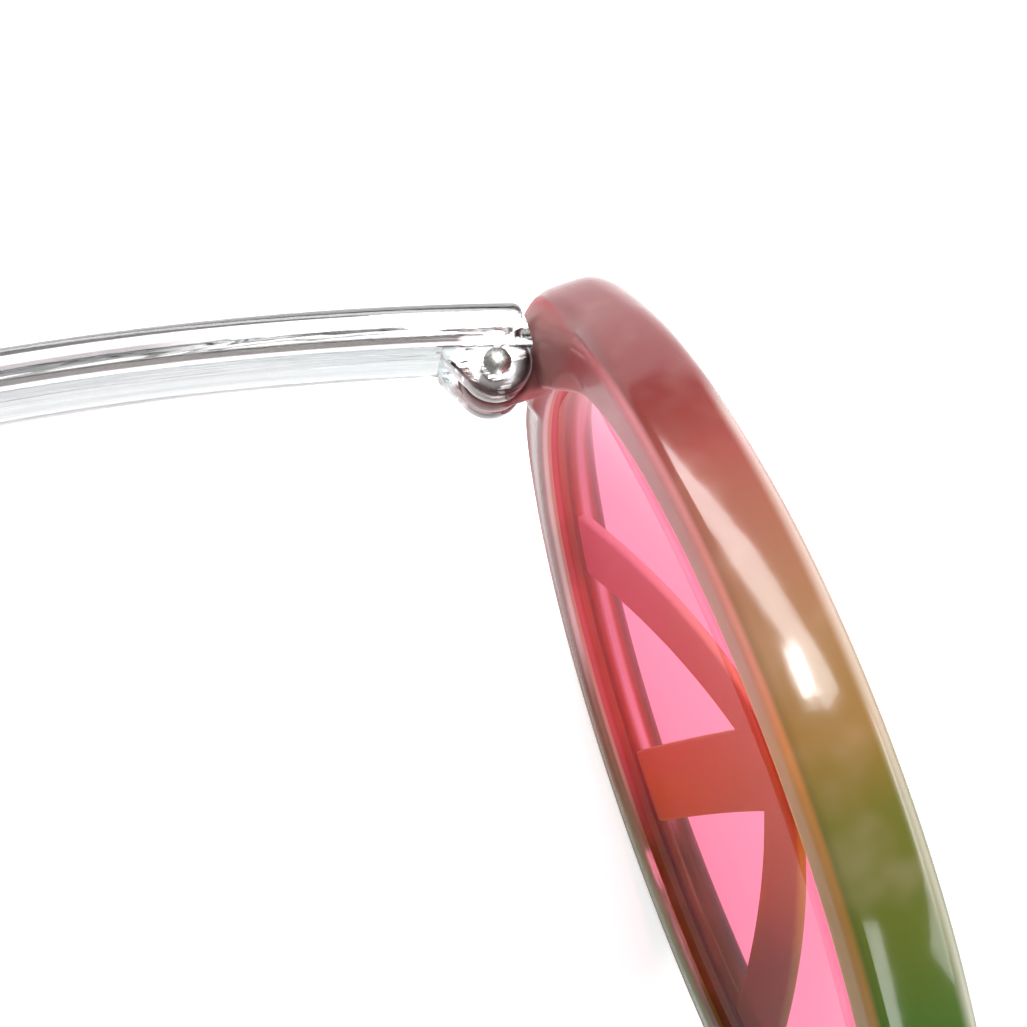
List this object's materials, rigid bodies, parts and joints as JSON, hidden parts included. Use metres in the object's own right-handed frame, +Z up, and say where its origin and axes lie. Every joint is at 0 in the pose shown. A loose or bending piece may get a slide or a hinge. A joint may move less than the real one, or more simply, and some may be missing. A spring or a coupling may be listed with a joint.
{
  "type": "round sunglasses",
  "caption": "Round sunglasses: peace-sign front over tinted lenses, with clear temples that fold on pinned hinges.",
  "frame": {"origin": "centre of the bounding box's bottom face, with the glasses open and standing on both rims and both temple tips, as they stand on a table", "axes": "the front faces -Y, +X is to the wearer's left, +Z is up; X = 0 is the plane of symmetry"},
  "size_m": [0.1394, 0.148, 0.059],
  "materials": {
    "front_plastic": "glossy, slightly see-through, with colours that run into each other from green by the nose to pink by the hinge",
    "tinted_lens": "smooth pink-tinted plastic sheet",
    "clear_plastic": "glossy, water-clear",
    "pin_steel": "bright steel"
  },
  "bodies": {
    "front": {"front_frame": "front_plastic", "left_lens": "tinted_lens", "right_lens": "tinted_lens"},
    "left_temple_arm": {"left_temple": "clear_plastic", "left_hinge_pin": "pin_steel"},
    "right_temple_arm": {"right_temple": "clear_plastic", "right_hinge_pin": "pin_steel"}
  },
  "joints": [
    {"name": "left_temple_hinge", "type": "hinge", "parent": "front", "child": "left_temple_arm", "pos_m": [0.06354, -0.06014, 0.0334], "axis": [0, 0, 1], "range_deg": [0, 91]},
    {"name": "right_temple_hinge", "type": "hinge", "parent": "front", "child": "right_temple_arm", "pos_m": [-0.06354, -0.06014, 0.0334], "axis": [0, 0, -1], "range_deg": [0, 86]}
  ]
}
